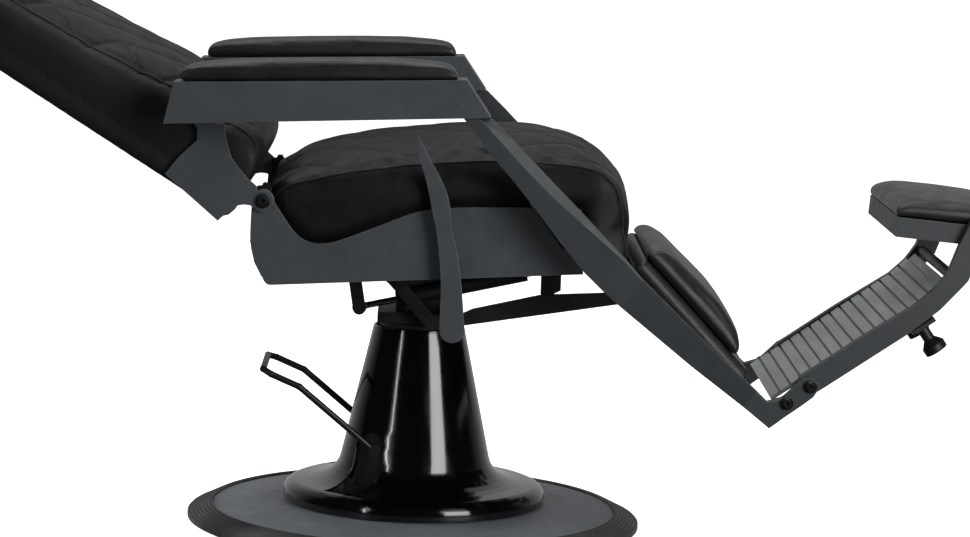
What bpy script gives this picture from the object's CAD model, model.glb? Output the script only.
import math

import bpy
import numpy as np
from mathutils import Matrix, Vector
from mathutils.bvhtree import BVHTree


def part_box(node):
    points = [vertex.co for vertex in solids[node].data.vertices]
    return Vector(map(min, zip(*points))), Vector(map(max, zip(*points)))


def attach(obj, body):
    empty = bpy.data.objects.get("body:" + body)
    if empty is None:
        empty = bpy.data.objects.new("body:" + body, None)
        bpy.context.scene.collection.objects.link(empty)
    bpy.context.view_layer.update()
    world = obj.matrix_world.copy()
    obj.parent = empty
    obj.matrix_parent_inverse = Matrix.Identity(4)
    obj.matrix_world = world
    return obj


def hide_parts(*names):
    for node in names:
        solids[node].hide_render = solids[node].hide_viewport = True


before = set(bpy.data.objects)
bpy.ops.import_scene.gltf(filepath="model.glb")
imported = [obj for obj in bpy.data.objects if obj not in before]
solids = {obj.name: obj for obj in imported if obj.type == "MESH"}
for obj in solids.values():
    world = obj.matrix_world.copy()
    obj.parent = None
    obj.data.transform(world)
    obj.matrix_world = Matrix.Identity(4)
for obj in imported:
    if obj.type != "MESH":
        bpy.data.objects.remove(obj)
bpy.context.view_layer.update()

# ---------------------------------------------------------------- floor disc
# The domed steel disc that the whole chair stands on, about 620 mm across.
# It is powder coated in a dull grey-blue, with the fine orange skin of such
# a coat, and it is a little uneven in tone from dust and shoes.


def new_finish(name, metallic=0.0):
    finish = bpy.data.materials.new(name)
    finish.use_nodes = True
    tree = finish.node_tree
    shader = tree.nodes["Principled BSDF"]
    shader.inputs["Metallic"].default_value = metallic
    return finish, tree, shader


def grain_of(tree, scale, detail=3.0, stretch=(1, 1, 1)):
    where = tree.nodes.new("ShaderNodeTexCoord")
    place = tree.nodes.new("ShaderNodeMapping")
    place.inputs["Scale"].default_value = stretch
    cloud = tree.nodes.new("ShaderNodeTexNoise")
    cloud.inputs["Scale"].default_value = scale
    cloud.inputs["Detail"].default_value = detail
    cloud.inputs["Roughness"].default_value = 0.55
    tree.links.new(where.outputs["Object"], place.inputs["Vector"])
    tree.links.new(place.outputs["Vector"], cloud.inputs["Vector"])
    return cloud.outputs["Fac"]


def spread(tree, value, low, high, to_low, to_high):
    step = tree.nodes.new("ShaderNodeMapRange")
    for name, number in (("From Min", low), ("From Max", high), ("To Min", to_low), ("To Max", to_high)):
        step.inputs[name].default_value = number
    tree.links.new(value, step.inputs["Value"])
    return step.outputs["Result"]


def tinted(tree, value, dark, light):
    blend = tree.nodes.new("ShaderNodeMix")
    blend.data_type = "RGBA"
    blend.inputs["A"].default_value = (*dark, 1)
    blend.inputs["B"].default_value = (*light, 1)
    tree.links.new(value, blend.inputs["Factor"])
    return blend.outputs["Result"]


def rounded_edges(tree, radius):
    edge = tree.nodes.new("ShaderNodeBevel")
    edge.samples = 4
    edge.inputs["Radius"].default_value = radius
    return edge.outputs["Normal"]


def raised(tree, value, height, strength=1.0, under=None):
    bump = tree.nodes.new("ShaderNodeBump")
    bump.inputs["Distance"].default_value = height
    bump.inputs["Strength"].default_value = strength
    tree.links.new(value, bump.inputs["Height"])
    if under is not None:
        tree.links.new(under, bump.inputs["Normal"])
    return bump.outputs["Normal"]


def edge_share(tree, radius):
    edge = tree.nodes.new("ShaderNodeBevel")
    edge.samples = 4
    edge.inputs["Radius"].default_value = radius
    flat = tree.nodes.new("ShaderNodeNewGeometry")
    across = tree.nodes.new("ShaderNodeVectorMath")
    across.operation = "DOT_PRODUCT"
    tree.links.new(edge.outputs["Normal"], across.inputs[0])
    tree.links.new(flat.outputs["Normal"], across.inputs[1])
    return spread(tree, across.outputs["Value"], 0.995, 0.86, 0.0, 1.0)


def coated_steel(name, colour, worn, roughness, skin_scale, skin_height, edge=0.0012, metallic=0.0):
    finish, tree, shader = new_finish(name, metallic)
    dust = grain_of(tree, 7.0, 5.0)
    rub = grain_of(tree, 46.0, 4.0)
    skin = grain_of(tree, skin_scale, 2.0)
    base = tinted(tree, spread(tree, dust, 0.35, 0.7, 0.0, 1.0),
                  [c * 0.92 for c in colour], [c * 1.14 for c in colour])
    wear = tree.nodes.new("ShaderNodeMath")
    wear.operation = "MULTIPLY"
    tree.links.new(edge_share(tree, edge * 1.4), wear.inputs[0])
    tree.links.new(spread(tree, rub, 0.38, 0.62, 0.25, 1.0), wear.inputs[1])
    mixed = tree.nodes.new("ShaderNodeMix")
    mixed.data_type = "RGBA"
    mixed.inputs["B"].default_value = (*worn, 1)
    tree.links.new(wear.outputs["Value"], mixed.inputs["Factor"])
    tree.links.new(base, mixed.inputs["A"])
    tree.links.new(mixed.outputs["Result"], shader.inputs["Base Color"])
    tree.links.new(spread(tree, rub, 0.3, 0.7, roughness - 0.05, roughness + 0.09),
                   shader.inputs["Roughness"])
    tree.links.new(raised(tree, skin, skin_height, 0.5, rounded_edges(tree, edge)),
                   shader.inputs["Normal"])
    return finish


def dress(finish, *names):
    for name in names:
        node = solids[name]
        node.data.materials.clear()
        node.data.materials.append(finish)


disc_coat = coated_steel("disc_powder_coat", (0.155, 0.170, 0.190), (0.215, 0.230, 0.250),
                         0.50, 900.0, 0.0002, 0.003)
dress(disc_coat, "base_disc")

# -------------------------------------------------------------- rubber rim
# A moulded black rubber ring pressed round the disc, which guards it and the
# barber's shoes. Fine ridges run round it, dull and dusty in patches.


def moulded_rubber(name, colour, dusty, roughness):
    finish, tree, shader = new_finish(name)
    dust = grain_of(tree, 11.0, 6.0)
    pits = grain_of(tree, 1400.0, 2.0)
    worn = tinted(tree, spread(tree, dust, 0.42, 0.75, 0.0, 1.0), colour, dusty)
    tree.links.new(worn, shader.inputs["Base Color"])
    tree.links.new(spread(tree, dust, 0.3, 0.7, roughness - 0.06, roughness + 0.12),
                   shader.inputs["Roughness"])
    tree.links.new(raised(tree, pits, 0.00015, 0.6, rounded_edges(tree, 0.0008)),
                   shader.inputs["Normal"])
    return finish


rim_rubber = moulded_rubber("rim_rubber", (0.020, 0.020, 0.0205), (0.085, 0.085, 0.086), 0.42)
dress(rim_rubber, "rim_ring")

# ---------------------------------------------------------- pedestal cover
# The spun steel bell over the pump, stoved in deep gloss black. It mirrors
# the studio's lights as long upright strips, faintly uneven as thin sheet
# always is, with hair-fine wiping marks.
bell_blend = 0.007
bell_gloss, tree, shader = new_finish("bell_gloss_black")
waves = grain_of(tree, 9.0, 1.0, (1, 1, 0.4))
wipes = grain_of(tree, 60.0, 4.0, (1, 1, 0.06))
tree.links.new(tinted(tree, wipes, (0.0012, 0.0012, 0.0013), (0.0022, 0.0022, 0.0024)),
               shader.inputs["Base Color"])
tree.links.new(spread(tree, wipes, 0.35, 0.7, 0.07, 0.17), shader.inputs["Roughness"])
shader.inputs["Coat Weight"].default_value = 0.6
shader.inputs["Coat Roughness"].default_value = 0.05
tree.links.new(raised(tree, waves, 0.0006, 0.35, rounded_edges(tree, bell_blend)),
               shader.inputs["Normal"])
dress(bell_gloss, "pedestal_cover")

# ------------------------------------------------ pump, its bolts and pedal
# The hydraulic pump stands in the bell on a bolted flange. Its pedal is a
# round bar bent to a U on a cross shaft between two cheeks. All of it is
# steel brushed with semi-gloss black paint, rubbed thin at its edges.
pump_black = coated_steel("pump_black_paint", (0.010, 0.010, 0.011), (0.035, 0.035, 0.038), 0.36,
                          420.0, 0.00025, 0.0008)
dress(pump_black, "pump_cylinder", "pump_bolts", "gland_nut", "pedal_brackets", "pump_pedal")

# Behind each of the bell's two pedal windows a moulded rubber panel is clipped
# to the sheet, with the pedal's shaft through it, so that hair stays out.
# Each is a sector of a cone, bounded by two cuts through the chair's axis.
seal_rubber = moulded_rubber("seal_rubber", (0.003, 0.003, 0.003), (0.006, 0.006, 0.006), 0.7)
cone_foot_r, cone_head_r, panel_low, panel_tall, panel_thick = 0.1242, 0.0992, 0.058, 0.113, 0.0025
cut_from_middle = 108
for middle, hand in ((230, "right"), (130, "left")):
    bpy.ops.object.select_all(action="DESELECT")
    bpy.ops.mesh.primitive_cone_add(
        vertices=96, radius1=cone_foot_r, radius2=cone_head_r, depth=panel_tall,
        end_fill_type="NOTHING", location=(0, 0, panel_low + panel_tall / 2))
    bpy.ops.object.transform_apply(location=True, rotation=True, scale=True)
    seal = bpy.context.view_layer.objects.active
    seal.name = "pedal_seal_" + hand
    bpy.ops.object.mode_set(mode="EDIT")
    for turn in (cut_from_middle, -cut_from_middle):
        edge = math.radians(middle + turn)
        bpy.ops.mesh.select_all(action="SELECT")
        bpy.ops.mesh.bisect(plane_co=(0, 0, 0), plane_no=(math.cos(edge), math.sin(edge), 0),
                            clear_outer=True)
    bpy.ops.mesh.select_all(action="SELECT")
    bpy.ops.mesh.normals_make_consistent(inside=False)
    bpy.ops.object.mode_set(mode="OBJECT")
    wall = seal.modifiers.new("wall", "SOLIDIFY")
    wall.thickness = panel_thick
    wall.offset = -1.0
    bpy.ops.object.modifier_apply(modifier=wall.name)
    soft_edge = seal.modifiers.new("soft_edge", "BEVEL")
    soft_edge.width = 0.0008
    soft_edge.segments = 2
    bpy.ops.object.modifier_apply(modifier=soft_edge.name)
    bpy.ops.object.shade_smooth_by_angle(angle=0.6)
    seal.data.materials.clear()
    seal.data.materials.append(seal_rubber)
    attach(seal, "base")

# ------------------------------------------- column and what turns upon it
# The lifting column slides in the pump under a black head. Above it a swivel
# plate and two upright cheeks carry the seat frame. All is painted black,
# and only the sliding rods of the chair are ground bright.


def ground_steel(name, colour, roughness):
    finish, tree, shader = new_finish(name, 1.0)
    lines = grain_of(tree, 700.0, 3.0, (1, 1, 0.03))
    stain = grain_of(tree, 18.0, 4.0)
    tree.links.new(tinted(tree, stain, [c * 0.82 for c in colour], colour),
                   shader.inputs["Base Color"])
    tree.links.new(spread(tree, lines, 0.3, 0.7, roughness * 0.7, roughness * 1.4),
                   shader.inputs["Roughness"])
    tree.links.new(raised(tree, lines, 0.00008, 0.5, rounded_edges(tree, 0.0006)),
                   shader.inputs["Normal"])
    return finish


column_steel = ground_steel("column_ground_steel", (0.50, 0.50, 0.51), 0.22)
frame_black = coated_steel("frame_black_paint", (0.011, 0.011, 0.012), (0.030, 0.030, 0.033), 0.42,
                           520.0, 0.0002, 0.001)
dress(frame_black, "lifting_column", "swivel_plate", "seat_riser", "seat_rail_right", "seat_rail_left",
      "seat_cross_members", "lever_shaft", "crank_hangers", "recline_crank", "drag_link",
      "lock_front_bracket", "lock_cylinder", "headrest_guide", "leg_cross_tubes", "foot_cross_bars",
      "leg_hinge_brackets", "leg_hinge_pins")

# ------------------------------------------------- side panels of the seat
# Two steel sheets cut to a sweeping edge and a rear cover between them, all
# powder coated in slate. The coat is smooth and silky, and it is rubbed a
# little lighter along the cut edges.
slate = coated_steel("slate_powder_coat", (0.057, 0.066, 0.075), (0.150, 0.165, 0.180), 0.42,
                     1100.0, 0.00012, 0.0018)
dress(slate, "side_panel_right", "side_panel_left", "rear_cover")

# ------------------------------------------------------ bolts and stop blocks
# Black oxide shoulder bolts with hexagon sockets hold the back's hinge, and
# two screwed rubber-faced blocks stop it. The oxide is thin, and the metal
# shines through a bit on the heads' edges.
oxide = coated_steel("black_oxide", (0.012, 0.012, 0.013), (0.06, 0.06, 0.062), 0.30,
                     300.0, 0.0001, 0.0006, metallic=0.35)
dress(oxide, "back_hinge_bolts", "hinge_blocks")

# --------------------------------------------------------------- seat board
# Birch ply boards, stained black, stiffen the seat, the back, the headrest
# and the calf pads. The veneer's grain shows faintly.
board_stain, tree, shader = new_finish("stained_ply")
veneer = grain_of(tree, 60.0, 6.0, (0.08, 1, 1))
tree.links.new(tinted(tree, veneer, (0.008, 0.0075, 0.007), (0.019, 0.017, 0.016)),
               shader.inputs["Base Color"])
tree.links.new(spread(tree, veneer, 0.3, 0.7, 0.5, 0.68), shader.inputs["Roughness"])
tree.links.new(raised(tree, veneer, 0.0003, 0.5, rounded_edges(tree, 0.001)),
               shader.inputs["Normal"])
dress(board_stain, "seat_board", "back_board", "headrest_board", "calf_board")

# ------------------------------------------------------------- seat cushion
# A deep foam block in black leatherette, crowned across and rolled over at
# the front. Its top is quilted in diamonds and joined to the plain sides by
# a piped seam. The cover is stretched over the foam, so it swells a little.


def leatherette(name, colour, lit, roughness, shine=0.24):
    finish, tree, shader = new_finish(name)
    where = tree.nodes.new("ShaderNodeTexCoord")
    cells = tree.nodes.new("ShaderNodeTexVoronoi")
    cells.feature = "DISTANCE_TO_EDGE"
    cells.inputs["Scale"].default_value = 620.0
    tree.links.new(where.outputs["Object"], cells.inputs["Vector"])
    creases = grain_of(tree, 38.0, 5.0)
    wear = grain_of(tree, 6.0, 4.0)
    tree.links.new(tinted(tree, spread(tree, wear, 0.35, 0.72, 0.0, 1.0), colour, lit),
                   shader.inputs["Base Color"])
    tree.links.new(spread(tree, creases, 0.3, 0.72, roughness - 0.07, roughness + 0.08),
                   shader.inputs["Roughness"])
    shader.inputs["Specular IOR Level"].default_value = shine
    pores = spread(tree, cells.outputs["Distance"], 0.0, 0.25, 0.0, 1.0)
    tree.links.new(raised(tree, pores, 0.00018, 0.55, raised(tree, creases, 0.0011, 0.3)),
                   shader.inputs["Normal"])
    return finish


def pick(piece):
    bpy.ops.object.select_all(action="DESELECT")
    piece.select_set(True)
    bpy.context.view_layer.objects.active = piece


def soft_copy(name, *parts):
    bpy.ops.object.select_all(action="DESELECT")
    pieces = []
    for part, change in parts:
        piece = solids[part].copy()
        piece.data = solids[part].data.copy()
        piece.parent = None
        piece.matrix_world = Matrix.Identity(4)
        bpy.context.scene.collection.objects.link(piece)
        if change is not None:
            at = np.array([v.co for v in piece.data.vertices])
            piece.data.vertices.foreach_set("co", change(at).ravel())
        piece.select_set(True)
        pieces.append(piece)
    bpy.context.view_layer.objects.active = pieces[0]
    if len(pieces) > 1:
        bpy.ops.object.join()
    piece = bpy.context.view_layer.objects.active
    piece.name = name
    bpy.ops.object.mode_set(mode="EDIT")
    bpy.ops.mesh.select_all(action="SELECT")
    bpy.ops.mesh.remove_doubles(threshold=0.00004)
    bpy.ops.mesh.normals_make_consistent(inside=False)
    bpy.ops.object.mode_set(mode="OBJECT")
    return piece


def finish_modifier(piece, modifier):
    pick(piece)
    bpy.ops.object.modifier_apply(modifier=modifier.name)


def points_of(piece):
    at = np.empty(len(piece.data.vertices) * 3)
    piece.data.vertices.foreach_get("co", at)
    return at.reshape(-1, 3)


def normals_of(piece):
    out = np.empty(len(piece.data.vertices) * 3)
    piece.data.vertices.foreach_get("normal", out)
    return out.reshape(-1, 3)


def set_points(piece, at):
    piece.data.vertices.foreach_set("co", at.ravel())
    piece.data.update()


def ramp(value, start, run):
    return np.clip((value - start) / run, 0, 1)


cloth_frames = 14


def stuffed(piece, voxel, rounding, cap, may_swell):
    remesh = piece.modifiers.new("cover", "REMESH")
    remesh.mode = "VOXEL"
    remesh.voxel_size = voxel
    finish_modifier(piece, remesh)
    smooth = piece.modifiers.new("foam", "SMOOTH")
    smooth.factor = 0.5
    smooth.iterations = rounding
    finish_modifier(piece, smooth)
    before = points_of(piece)
    start = before - normals_of(piece) * (cap * 0.7 * may_swell(before))[:, None]
    set_points(piece, start)
    cloth = piece.modifiers.new("swell", "CLOTH")
    cloth.settings.use_pressure = True
    cloth.settings.uniform_pressure_force = 4.0
    cloth.settings.effector_weights.gravity = 0.0
    cloth.settings.quality = 4
    cloth.point_cache.frame_start = 1
    cloth.point_cache.frame_end = cloth_frames
    for step in range(1, cloth_frames + 1):
        bpy.context.scene.frame_set(step)
    finish_modifier(piece, cloth)
    bpy.context.scene.frame_set(1)
    moved = points_of(piece) - start
    size = np.maximum(np.linalg.norm(moved, axis=1, keepdims=True), 1e-9)
    set_points(piece, start + moved * np.minimum(1.0, cap / size) * may_swell(before)[:, None])
    settle = piece.modifiers.new("settle", "SMOOTH")
    settle.factor = 0.5
    settle.iterations = 4
    finish_modifier(piece, settle)
    finer = piece.modifiers.new("finer", "SUBSURF")
    finer.levels = finer.render_levels = 1
    finish_modifier(piece, finer)


def quilt_lines(along, across, pitch):
    first = (along + across) / pitch
    second = (along - across) / pitch
    nearest = np.minimum(abs(first - np.round(first)), abs(second - np.round(second)))
    return nearest * pitch / math.sqrt(2)


# A row of spots along a piece's edge, found by looking at it at 45 degrees
# from a start above and beside the edge that is given in side view.
def edge_path(piece, side_view, half, side, away=0.05):
    surface = BVHTree.FromObject(piece, bpy.context.evaluated_depsgraph_get())
    found = []
    for i, (x, z) in enumerate(side_view):
        ahead = side_view[min(i + 1, len(side_view) - 1)]
        behind = side_view[max(i - 1, 0)]
        out = Vector((behind[1] - ahead[1], 0, ahead[0] - behind[0])).normalized()
        start = Vector((x, side * half, z)) + out * away + Vector((0, side * away, 0))
        hit = surface.ray_cast(start, -(out + Vector((0, side, 0))).normalized())
        if hit[0] is not None:
            found.append((hit[0], hit[1]))
    return found


def even_path(corners, step):
    corners = [np.array(c, float) for c in corners]
    lengths = [0.0]
    for a, b in zip(corners, corners[1:]):
        lengths.append(lengths[-1] + float(np.linalg.norm(b - a)))
    count = max(2, int(lengths[-1] / step))
    where = np.linspace(0, lengths[-1], count)
    table = np.array(corners)
    spots = np.stack([np.interp(where, lengths, column) for column in table.T], axis=1)
    for _ in range(3):
        spots[1:-1] = (spots[:-2] + 2 * spots[1:-1] + spots[2:]) / 4
    return [tuple(p) for p in spots]


# The same on a piece's side, seen straight from beside it
def side_path(piece, side_view, side, start_half=0.30):
    surface = BVHTree.FromObject(piece, bpy.context.evaluated_depsgraph_get())
    hits = [surface.ray_cast(Vector((x, side * start_half, z)), Vector((0, -side, 0)))
            for x, z in side_view]
    return [(hit[0], hit[1]) for hit in hits if hit[0] is not None]


def cords(name, paths, radius, finish, body):
    line = bpy.data.curves.new(name, "CURVE")
    line.dimensions = "3D"
    line.bevel_depth = radius
    line.bevel_resolution = 2
    line.use_fill_caps = True
    for path in paths:
        spline = line.splines.new("POLY")
        spline.points.add(len(path) - 1)
        for point, (at, out) in zip(spline.points, path):
            point.co = (*(at + out * radius * 0.1), 1)
    cord = bpy.data.objects.new(name, line)
    bpy.context.scene.collection.objects.link(cord)
    pick(cord)
    bpy.ops.object.convert(target="MESH")
    cord = bpy.context.view_layer.objects.active
    bpy.ops.object.shade_smooth()
    cord.data.materials.clear()
    cord.data.materials.append(finish)
    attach(cord, body)


def stitches(path, share=0.62):
    return [[a, (a[0].lerp(b[0], share), a[1])] for a, b in zip(path, path[1:])]


def upholster(piece, finish, body, *replaced):
    pick(piece)
    bpy.ops.object.shade_smooth()
    piece.data.materials.clear()
    piece.data.materials.append(finish)
    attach(piece, body)
    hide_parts(*replaced)


seat_hide = leatherette("seat_leatherette", (0.0050, 0.0050, 0.0052),
                        (0.0072, 0.0072, 0.0075), 0.46)
welt_hide = leatherette("welt_leatherette", (0.016, 0.016, 0.0165), (0.024, 0.024, 0.0245), 0.38)
seat_low, seat_slope = 0.419, math.radians(3.84)
seat_shoulder_h = 0.125


def along_seat(at):
    x = at[:, 0] * math.cos(seat_slope) + (at[:, 2] - seat_low) * math.sin(seat_slope)
    z = -at[:, 0] * math.sin(seat_slope) + (at[:, 2] - seat_low) * math.cos(seat_slope)
    return x, at[:, 1], z


def seat_may_swell(at):
    x, y, z = along_seat(at)
    on_top = ramp(z, seat_shoulder_h, 0.05)
    return 0.9 * np.clip(on_top + ramp(x, 0.262, 0.03) * ramp(z, 0.03, 0.03) * (1 - on_top), 0, 1)


seat_cover = soft_copy("seat_cover", ("seat_cushion", None))
stuffed(seat_cover, 0.0062, 6, 0.009, seat_may_swell)
at = points_of(seat_cover)
x, y, z = along_seat(at)
nose_push, nose_lift = 0.012, 0.004
nose = ramp(x, 0.212, 0.036) * ramp(z, 0.05, 0.07)
at[:, 0] += nose_push * nose
at[:, 2] += nose_lift * nose * ramp(abs(y), 0.12, 0.1)
set_points(seat_cover, at)
out = normals_of(seat_cover)
x, y, z = along_seat(at)
quilt_half, quilt_front, seat_quilt_pitch = 0.222, 0.300, 0.116
top = ramp(z, seat_shoulder_h, 0.03) * ramp(quilt_half - abs(y), 0, 0.006)
top *= ramp(quilt_front - x, 0, 0.02)
lines = quilt_lines(x, y, seat_quilt_pitch)
drop = 0.0016 * np.exp(-(lines / 0.0035) ** 2) + 0.0012 * np.exp(-(lines / 0.014) ** 2)
set_points(seat_cover, at - out * (drop * top)[:, None])
upholster(seat_cover, seat_hide, "seat", "seat_cushion")
cord_step, seat_edge_half, thread_r = 0.006, 0.245, 0.0005
seat_seam = even_path([(-0.2280, 0.543), (-0.182, 0.562), (-0.109, 0.584), (-0.006, 0.601),
                       (0.082, 0.609), (0.170, 0.609), (0.229, 0.602), (0.264, 0.590),
                       (0.287, 0.572), (0.301, 0.540), (0.308, 0.485), (0.309, 0.455)], cord_step)
stitch_drop = 0.013
low_seam = [(x, z - stitch_drop) for x, z in seat_seam[:-12]]
for side, hand in ((-1, "right"), (1, "left")):
    cords("seat_piping_" + hand, [edge_path(seat_cover, seat_seam, seat_edge_half, side)], 0.0017,
          welt_hide, "seat")
    cords("seat_stitches_" + hand, stitches(side_path(seat_cover, low_seam, side)), thread_r,
          welt_hide, "seat")

# -------------------------------------------------------------------- back
# The upholstered back: a board, a deep foam pad and one leatherette cover
# that wraps both, so its sides are plain and smooth to the rear. The front
# is quilted and edged by a seam with a twin row of stitches beside it.
# Along the back, s runs up from its foot, y across and n out of its front.
back_foot, back_turn = Vector((-0.235, 0, 0.529)), math.radians(31.5)
up_x, up_z = -math.cos(back_turn), math.sin(back_turn)
out_x, out_z = math.sin(back_turn), math.cos(back_turn)


def along_back(at):
    dx, dz = at[:, 0] - back_foot.x, at[:, 2] - back_foot.z
    return dx * up_x + dz * up_z, at[:, 1], dx * out_x + dz * out_z


def from_back(s, y, n):
    return np.stack([back_foot.x + s * up_x + n * out_x, y,
                     back_foot.z + s * up_z + n * out_z], axis=1)


cover_half, foam_half, board_half = 0.2405, 0.236, 0.2431


def wider_back(at):
    s, y, n = along_back(at)
    return from_back(s, y * cover_half / foam_half, n)


def board_into_back(at):
    s, y, n = along_back(at)
    return from_back(s, y * cover_half / board_half, np.where(n > -0.040, n + 0.006, n))


def back_may_swell(at):
    s, y, n = along_back(at)
    return ramp(n, 0.02, 0.04) * ramp(s, 0.06, 0.06)


back_cover = soft_copy("back_cover", ("back_cushion", wider_back), ("back_board", board_into_back))
stuffed(back_cover, 0.0068, 6, 0.009, back_may_swell)
at, out = points_of(back_cover), normals_of(back_cover)
s, y, n = along_back(at)
back_quilt_half, quilt_foot, quilt_head, back_quilt_pitch = 0.226, 0.060, 0.615, 0.118
front = ramp(n, 0.030, 0.02) * ramp(back_quilt_half - abs(y), 0, 0.006)
front *= ramp(s, quilt_foot, 0.012) * ramp(quilt_head - s, 0, 0.012)
lines = quilt_lines(s, y, back_quilt_pitch)
drop = 0.0018 * np.exp(-(lines / 0.0038) ** 2) + 0.0014 * np.exp(-(lines / 0.015) ** 2)
set_points(back_cover, at - out * (drop * front)[:, None])
back_hide = leatherette("back_leatherette", (0.0095, 0.0095, 0.0098),
                        (0.0120, 0.0120, 0.0124), 0.50)
upholster(back_cover, back_hide, "back", "back_cushion", "back_board")
back_seam = []
for s_at, n_at in ((0.040, 0.052), (0.050, 0.072), (0.070, 0.080), (0.120, 0.083), (0.204, 0.083),
                   (0.328, 0.069), (0.441, 0.060), (0.540, 0.054), (0.600, 0.048), (0.632, 0.020)):
    back_seam.append((back_foot.x + s_at * up_x + n_at * out_x,
                      back_foot.z + s_at * up_z + n_at * out_z))
back_seam = even_path(back_seam, cord_step)[::-1]
for side, hand in ((-1, "right"), (1, "left")):
    cords("back_piping_" + hand, [edge_path(back_cover, back_seam, foam_half, side)], 0.0015,
          welt_hide, "back")
    rows = []
    for gap in (0.012, 0.019):
        row = [(x - gap * out_x, z - gap * out_z) for x, z in back_seam[8:-10]]
        rows += stitches(side_path(back_cover, row, side))
    cords("back_stitches_" + hand, rows, thread_r, welt_hide, "back")

# ----------------------------------------------------- brackets of the back
# Plates of slate-coated steel screwed to the back's sides, which turn on the
# seat's hinge bolts and carry the armrests' rear ends.
dress(slate, "back_bracket_right", "back_bracket_left")

# ---------------------------------------------------------------- headrest
# A small pad on a flat bar that slides in a sleeve behind the back. It is a
# boxed foam pad in the same leatherette, with rounded edges.
headrest_cover = soft_copy("headrest_cover", ("headrest_cushion", None))
stuffed(headrest_cover, 0.0050, 6, 0.006, lambda at: ramp(along_back(at)[2], -0.035, 0.02))
upholster(headrest_cover, back_hide, "headrest", "headrest_cushion")
dress(column_steel, "headrest_post")

# ---------------------------------------------------------------- armrests
# Channels bent from steel sheet and coated in slate, pinned at both ends so
# that they stay level. A slim leatherette pad is screwed on each from below.
dress(slate, "arm_channel_right", "arm_channel_left", "arm_pins_right", "arm_pins_left")
arm_hide = leatherette("arm_leatherette", (0.0110, 0.0110, 0.0113), (0.0145, 0.0145, 0.0149),
                       0.34, 0.45)
for side, hand in ((-1, "right"), (1, "left")):
    pad = soft_copy("arm_cover_" + hand, ("arm_pad_" + hand, None))
    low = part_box("arm_pad_" + hand)[0][2]
    stuffed(pad, 0.0035, 12, 0.003, lambda at: ramp(at[:, 2] - low, 0.018, 0.01))
    upholster(pad, arm_hide, "arm_" + hand, "arm_pad_" + hand)

# ---------------------------------------------- beams that carry the footrest
# Two long sweeping beams of solid bar, coated darker than the slate, with a
# bevel ground along their front edge. They hang from the armrests' front
# ends and toe in towards the footrest.
beam_coat = coated_steel("beam_powder_coat", (0.031, 0.037, 0.041), (0.120, 0.135, 0.145), 0.46,
                         1100.0, 0.00012, 0.0018)
dress(beam_coat, "leg_beam_right", "leg_beam_left")

# ------------------------------------------------------------- calf cushions
# A flat slab in leatherette is screwed to the calf board, and a domed pad is
# sewn on top of it, with a seam between the two.
calf_top, calf_turn = Vector((0.340, 0, 0.452)), math.radians(46.25)


def along_calf(at):
    dx, dz = at[:, 0] - calf_top.x, at[:, 2] - calf_top.z
    return (dx * math.cos(calf_turn) - dz * math.sin(calf_turn), at[:, 1],
            dx * math.sin(calf_turn) + dz * math.cos(calf_turn))


calf_hide = leatherette("calf_leatherette", (0.0170, 0.0170, 0.0174), (0.0220, 0.0220, 0.0225),
                        0.34, 0.42)
calf_slab = soft_copy("calf_slab", ("calf_cushion_lower", None))
stuffed(calf_slab, 0.0040, 4, 0.002, lambda at: 0 * at[:, 0])
upholster(calf_slab, calf_hide, "legs", "calf_cushion_lower")
calf_pad = soft_copy("calf_pad", ("calf_cushion_upper", None))
stuffed(calf_pad, 0.0042, 5, 0.005, lambda at: ramp(along_calf(at)[2], 0.012, 0.012))
upholster(calf_pad, calf_hide, "legs", "calf_cushion_upper")

# ----------------------------------------------------------- footrest frame
# Two cranked flat bars in the beams' coat pivot on the beams' ends and carry
# the foot plate between them, with rubber feet that meet the floor when the
# chair is upright.
dress(beam_coat, "foot_frame_right", "foot_frame_left", "heel_box")
dress(oxide, "foot_bolts")
foot_rubber = moulded_rubber("foot_rubber", (0.005, 0.005, 0.0052), (0.011, 0.011, 0.0113), 0.46)
dress(foot_rubber, "foot_bumpers")

# ---------------------------------------------------------------- foot plate
# An extruded aluminium tread with raised ribs across it. The ribs are rubbed
# bright by shoes and the grooves between them are dark with dirt.
tread, tree, shader = new_finish("ribbed_aluminium", 0.55)
scuff = grain_of(tree, 30.0, 5.0, (1, 0.25, 1))
lines = grain_of(tree, 500.0, 3.0, (1, 0.02, 1))
metal = tinted(tree, spread(tree, scuff, 0.35, 0.7, 0.0, 1.0),
               (0.325, 0.336, 0.348), (0.430, 0.442, 0.458))
shade = tree.nodes.new("ShaderNodeAmbientOcclusion")
shade.inputs["Distance"].default_value = 0.004
grime = tree.nodes.new("ShaderNodeMix")
grime.data_type = "RGBA"
grime.inputs["A"].default_value = (0.02, 0.02, 0.021, 1)
tree.links.new(spread(tree, shade.outputs["AO"], 0.45, 0.8, 0.0, 1.0), grime.inputs["Factor"])
tree.links.new(metal, grime.inputs["B"])
tree.links.new(grime.outputs["Result"], shader.inputs["Base Color"])
tree.links.new(spread(tree, lines, 0.3, 0.7, 0.36, 0.52), shader.inputs["Roughness"])
tree.links.new(raised(tree, lines, 0.0001, 0.5, rounded_edges(tree, 0.0008)), shader.inputs["Normal"])
dress(tread, "foot_plate")

# ---------------------------------------------------------------- heel pad
# The raised pad at the footrest's end: a steel tray in the beams' coat with a
# stuffed leatherette cushion in it.
heel_cover = soft_copy("heel_cover", ("heel_cushion", None))
heel_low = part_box("heel_cushion")[0][2]
stuffed(heel_cover, 0.0042, 5, 0.005, lambda at: ramp(at[:, 2] - heel_low, 0.028, 0.012))
upholster(heel_cover, calf_hide, "footrest", "heel_cushion")

# ------------------------------------------------------------ recline lever
# A flat curved blade beside the seat that frees the locking cylinder. It is
# laser cut steel in the same slate. The cylinder's rod is ground bright.
dress(slate, "recline_lever")
dress(column_steel, "lock_rod")

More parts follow.
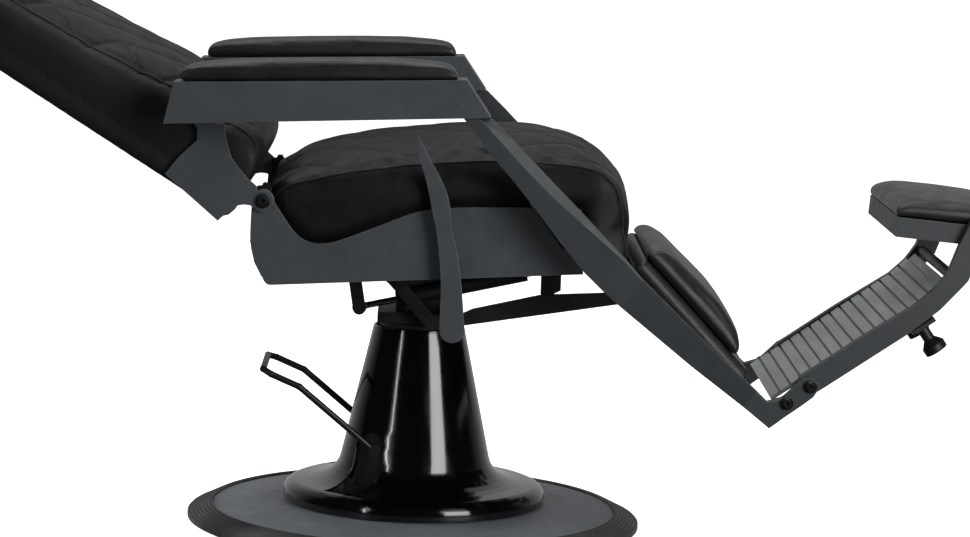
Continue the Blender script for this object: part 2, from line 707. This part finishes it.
# --------------------------------------------------------- floor and lights
# A pale seamless studio floor with one wide soft light above, a broad and a
# slim upright box in front, which draw the long highlights on the bell, and
# a fill from the left that the gloss doesn't mirror.
bpy.ops.object.select_all(action="DESELECT")
bpy.ops.mesh.primitive_plane_add(size=1, location=(0, 0, 0))
floor = bpy.context.view_layer.objects.active
floor.name = "studio_floor"
floor.scale = (40, 60, 1)
bpy.ops.object.transform_apply(location=True, rotation=True, scale=True)
paper, tree, shader = new_finish("studio_paper")
tree.links.new(tinted(tree, grain_of(tree, 1.5, 3.0), (0.88, 0.88, 0.89), (0.92, 0.92, 0.93)),
               shader.inputs["Base Color"])
shader.inputs["Roughness"].default_value = 0.9
shader.inputs["Specular IOR Level"].default_value = 0.1
shader.inputs["Emission Color"].default_value = (1, 1, 1, 1)
shader.inputs["Emission Strength"].default_value = 1.0
floor.data.materials.append(paper)
floor.visible_glossy = floor.visible_diffuse = False


def soft_light(name, at, look_at, width, height, watts):
    lamp = bpy.data.lights.new(name, "AREA")
    lamp.shape = "RECTANGLE"
    lamp.size, lamp.size_y, lamp.energy = width, height, watts
    light = bpy.data.objects.new(name, lamp)
    bpy.context.scene.collection.objects.link(light)
    towards = (Vector(look_at) - Vector(at)).normalized()
    aim = towards.to_track_quat("-Z", "Y").to_matrix().to_4x4()
    light.matrix_world = Matrix.Translation(Vector(at)) @ aim
    return light


soft_light("overhead", (0.2, 0.6, 3.4), (0, 0, 0.5), 3.6, 2.4, 52)
soft_light("broad_box", (2.1, -2.7, 1.3), (0, 0, 0.45), 1.4, 2.4, 72)
soft_light("slim_box", (-2.9, -3.2, 1.6), (0, 0, 0.35), 0.12, 2.2, 14)
left_fill = soft_light("left_fill", (-3.8, 0.8, 1.2), (0.8, 0, 0.6), 2.4, 2.4, 120)
left_fill.visible_glossy = False
room = bpy.data.worlds.new("studio")
bpy.context.scene.world = room
room.use_nodes = True
tree = room.node_tree
glow = tree.nodes["Background"]
glow.inputs["Color"].default_value = (1, 1, 1, 1)
seen = tree.nodes.new("ShaderNodeLightPath")
way = tree.nodes.new("ShaderNodeTexCoord")
apart = tree.nodes.new("ShaderNodeSeparateXYZ")
tree.links.new(way.outputs["Generated"], apart.inputs["Vector"])
backdrop = spread(tree, apart.outputs["Y"], 0.2, 0.9, 0.012, 0.36)
mirrored = tree.nodes.new("ShaderNodeMix")
mirrored.inputs["A"].default_value = 0.20
tree.links.new(seen.outputs["Is Glossy Ray"], mirrored.inputs["Factor"])
tree.links.new(backdrop, mirrored.inputs["B"])
lift = tree.nodes.new("ShaderNodeMath")
lift.operation = "ADD"
tree.links.new(mirrored.outputs["Result"], lift.inputs[0])
tree.links.new(seen.outputs["Is Camera Ray"], lift.inputs[1])
tree.links.new(lift.outputs["Value"], glow.inputs["Strength"])

# ------------------------------------------------------------------ camera
# The place and lens that the photograph was solved to: about five metres to
# the sitter's right, a little above the armrests.
yaw, pitch, roll = math.radians(0.96991), math.radians(7.0039), math.radians(2.0073)
ahead = Vector((math.sin(yaw) * math.cos(pitch), math.cos(yaw) * math.cos(pitch), -math.sin(pitch)))
level = Vector((math.cos(yaw), -math.sin(yaw), 0))
above = level.cross(ahead)
right = level * math.cos(roll) + above * math.sin(roll)
upward = above * math.cos(roll) - level * math.sin(roll)
lens = bpy.data.cameras.new("studio_camera")
lens.sensor_fit = "HORIZONTAL"
lens.sensor_width = 36.0
focal_pixels, picture_width = 3434.656, 970
lens.lens = focal_pixels / picture_width * 36.0
lens.clip_end = 200.0
camera = bpy.data.objects.new("studio_camera", lens)
bpy.context.scene.collection.objects.link(camera)
camera.matrix_world = Matrix.Translation(Vector((0.009618, -5.262417, 1.056015))) @ Matrix(
    (right, upward, -ahead)).transposed().to_4x4()
bpy.context.scene.camera = camera
bpy.context.scene.view_settings.view_transform = "Standard"
